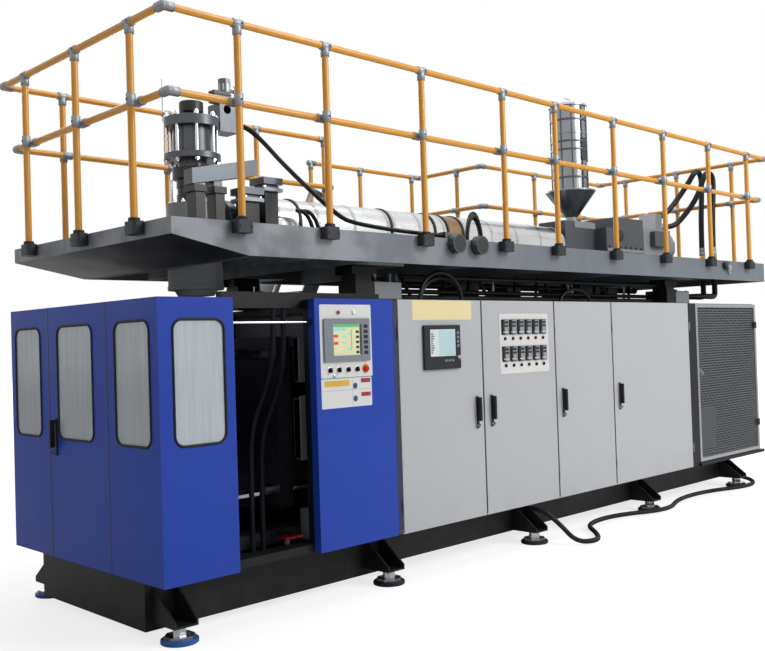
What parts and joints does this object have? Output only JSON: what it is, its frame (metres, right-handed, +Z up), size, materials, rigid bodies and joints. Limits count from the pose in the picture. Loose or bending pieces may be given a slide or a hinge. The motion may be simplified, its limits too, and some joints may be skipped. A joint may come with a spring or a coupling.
{
  "type": "blow moulding machine",
  "caption": "Accumulator-head blow moulding machine: blue guarded clamp, grey control cabinets, and a raised railed deck with extruder, hopper and die head.",
  "frame": {"origin": "on the floor, under the middle of the machine's box (cords left out)", "axes": "+X from the clamp end to the motor end, +Y from the operator's front face to the back, +Z up"},
  "size_m": [7.3806, 3.1311, 3.9313],
  "materials": {
    "base_black": "semi-gloss",
    "blue_paint": "gloss",
    "clear_pane": "clear",
    "grey_paint": "satin",
    "dark_frame": "satin",
    "mesh_steel": "satin",
    "handle_black": "matte",
    "estop_red": "gloss",
    "panel_white": "satin",
    "pad_rubber": "matte",
    "bright_steel": "polished",
    "dark_steel": "matte",
    "deck_grey": "satin",
    "rail_yellow": "satin",
    "galvanised": "galvanised",
    "stainless": "brushed",
    "motor_grey": "satin",
    "valve_metal": "cast",
    "hose_black": "matte"
  },
  "bodies": {
    "base": {"base_frame": "base_black", "foot_pads": "pad_rubber", "foot_studs": "bright_steel", "guard_panels": "blue_paint", "guard_windows": "clear_pane", "guard_frame": "base_black", "cabinet_shell": "grey_paint", "hydraulic_cabinet": "dark_frame", "pump_unit": "deck_grey", "clamp_frame": "base_black", "tie_bars": "bright_steel", "clamp_cylinder": "dark_steel", "lift_jacks": "base_black", "access_stair": "deck_grey", "floor_conduit": "hose_black", "clamp_hoses": "hose_black"},
    "operator_door": {"front_door": "blue_paint", "front_door_window": "clear_pane"},
    "end_door": {"end_door": "blue_paint", "end_door_window": "clear_pane"},
    "end_handle": {"end_door_handle": "handle_black"},
    "hmi_door": {"hmi_door": "blue_paint", "operator_panel": "panel_white"},
    "selector_1": {"selector_switch_1": "handle_black"},
    "selector_2": {"selector_switch_2": "handle_black"},
    "selector_3": {"selector_switch_3": "handle_black"},
    "selector_4": {"selector_switch_4": "handle_black"},
    "estop": {"estop_button": "estop_red"},
    "cabinet_door_1": {"cabinet_door_1": "grey_paint", "parison_controller": "handle_black"},
    "handle_1": {"cabinet_handle_1": "handle_black"},
    "controller_knob": {"controller_knob": "handle_black"},
    "cabinet_door_2": {"cabinet_door_2": "grey_paint", "temperature_panel": "panel_white"},
    "handle_2": {"cabinet_handle_2": "handle_black"},
    "cabinet_door_3": {"cabinet_door_3": "grey_paint"},
    "handle_3": {"cabinet_handle_3": "handle_black"},
    "cabinet_door_4": {"cabinet_door_4": "grey_paint"},
    "handle_4": {"cabinet_handle_4": "handle_black"},
    "mesh_door": {"mesh_door": "mesh_steel"},
    "platform": {"deck": "deck_grey", "jack_screws": "bright_steel", "guard_rails": "rail_yellow", "rail_clamps": "galvanised", "rail_sockets": "handle_black", "barrel": "stainless", "barrel_covers": "stainless", "gearbox": "deck_grey", "extruder_motor": "motor_grey", "hopper": "stainless", "die_head": "dark_steel", "head_cylinder": "motor_grey", "head_support": "dark_steel", "servo_valve": "valve_metal", "deck_hoses": "hose_black"},
    "left_platen": {"platen_left": "dark_steel"},
    "right_platen": {"platen_right": "dark_steel"},
    "screw": {"extruder_screw": "bright_steel"},
    "lid": {"loader_lid": "stainless"},
    "core_rod": {"head_rod": "bright_steel"}
  },
  "joints": [
    {"name": "operator_door_slide", "type": "slide", "parent": "base", "child": "operator_door", "axis": [1, 0, 0], "range_m": [0, 0.58]},
    {"name": "end_door_hinge", "type": "hinge", "parent": "base", "child": "end_door", "pos_m": [-3.644, -0.795, 0.34], "axis": [0, 0, 1], "range_deg": [0, 110]},
    {"name": "end_handle_turn", "type": "hinge", "parent": "end_door", "child": "end_handle", "pos_m": [-3.67, -0.155, 1.177], "axis": [-1, 0, 0], "range_deg": [0, 90]},
    {"name": "hmi_door_hinge", "type": "hinge", "parent": "base", "child": "hmi_door", "pos_m": [-1.881, -1.368, 0.34], "axis": [0, 0, 1], "range_deg": [0, 90]},
    {"name": "selector_1_turn", "type": "hinge", "parent": "hmi_door", "child": "selector_1", "pos_m": [-2.443, -1.363, 1.44], "axis": [0, -1, 0], "range_deg": [-45, 45]},
    {"name": "selector_2_turn", "type": "hinge", "parent": "hmi_door", "child": "selector_2", "pos_m": [-2.369, -1.363, 1.44], "axis": [0, -1, 0], "range_deg": [-45, 45]},
    {"name": "selector_3_turn", "type": "hinge", "parent": "hmi_door", "child": "selector_3", "pos_m": [-2.293, -1.363, 1.44], "axis": [0, -1, 0], "range_deg": [-45, 45]},
    {"name": "selector_4_turn", "type": "hinge", "parent": "hmi_door", "child": "selector_4", "pos_m": [-2.217, -1.363, 1.44], "axis": [0, -1, 0], "range_deg": [-45, 45]},
    {"name": "estop_press", "type": "slide", "parent": "hmi_door", "child": "estop", "axis": [0, 1, 0], "range_m": [0, 0.006], "stiffness_N_per_m": 1500},
    {"name": "cabinet_door_1_hinge", "type": "hinge", "parent": "base", "child": "cabinet_door_1", "pos_m": [-1.841, -1.368, 0.34], "axis": [0, 0, -1], "range_deg": [0, 90]},
    {"name": "cabinet_door_2_hinge", "type": "hinge", "parent": "base", "child": "cabinet_door_2", "pos_m": [-0.088, -1.368, 0.34], "axis": [0, 0, 1], "range_deg": [0, 90]},
    {"name": "cabinet_door_3_hinge", "type": "hinge", "parent": "base", "child": "cabinet_door_3", "pos_m": [0.736, -1.368, 0.34], "axis": [0, 0, 1], "range_deg": [0, 90]},
    {"name": "cabinet_door_4_hinge", "type": "hinge", "parent": "base", "child": "cabinet_door_4", "pos_m": [2.066, -1.368, 0.34], "axis": [0, 0, 1], "range_deg": [0, 90]},
    {"name": "handle_1_turn", "type": "hinge", "parent": "cabinet_door_1", "child": "handle_1", "pos_m": [-1.061, -1.394, 1.177], "axis": [0, 1, 0], "range_deg": [0, 90]},
    {"name": "handle_2_turn", "type": "hinge", "parent": "cabinet_door_2", "child": "handle_2", "pos_m": [-0.897, -1.394, 1.177], "axis": [0, -1, 0], "range_deg": [0, 90]},
    {"name": "handle_3_turn", "type": "hinge", "parent": "cabinet_door_3", "child": "handle_3", "pos_m": [-0.006, -1.394, 1.177], "axis": [0, -1, 0], "range_deg": [0, 90]},
    {"name": "handle_4_turn", "type": "hinge", "parent": "cabinet_door_4", "child": "handle_4", "pos_m": [0.818, -1.394, 1.177], "axis": [0, -1, 0], "range_deg": [0, 90]},
    {"name": "controller_knob_turn", "type": "hinge", "parent": "cabinet_door_1", "child": "controller_knob", "pos_m": [-1.265, -1.382, 1.482], "axis": [0, -1, 0], "continuous": true},
    {"name": "mesh_door_hinge", "type": "hinge", "parent": "base", "child": "mesh_door", "pos_m": [3.501, -1.368, 0.36], "axis": [0, 0, 1], "range_deg": [0, 90]},
    {"name": "platform_lift", "type": "slide", "parent": "base", "child": "platform", "axis": [0, 0, 1], "range_m": [0, 0.1]},
    {"name": "right_platen_slide", "type": "slide", "parent": "base", "child": "right_platen", "axis": [-1, 0, 0], "range_m": [0, 0.2]},
    {"name": "left_platen_slide", "type": "slide", "parent": "base", "child": "left_platen", "axis": [1, 0, 0], "range_m": [0, 0.2]},
    {"name": "screw_turn", "type": "hinge", "parent": "platform", "child": "screw", "pos_m": [-1.636, -0.445, 2.475], "axis": [1, 0, 0], "continuous": true},
    {"name": "lid_hinge", "type": "hinge", "parent": "platform", "child": "lid", "pos_m": [1.544, -0.253, 3.8353], "axis": [-1, 0, 0], "range_deg": [0, 100]},
    {"name": "core_rod_slide", "type": "slide", "parent": "platform", "child": "core_rod", "axis": [0, 0, 1], "range_m": [0, 0.11]}
  ],
  "couplings": [
    {"joint": "left_platen_slide", "follows": "right_platen_slide", "ratio": 1}
  ]
}
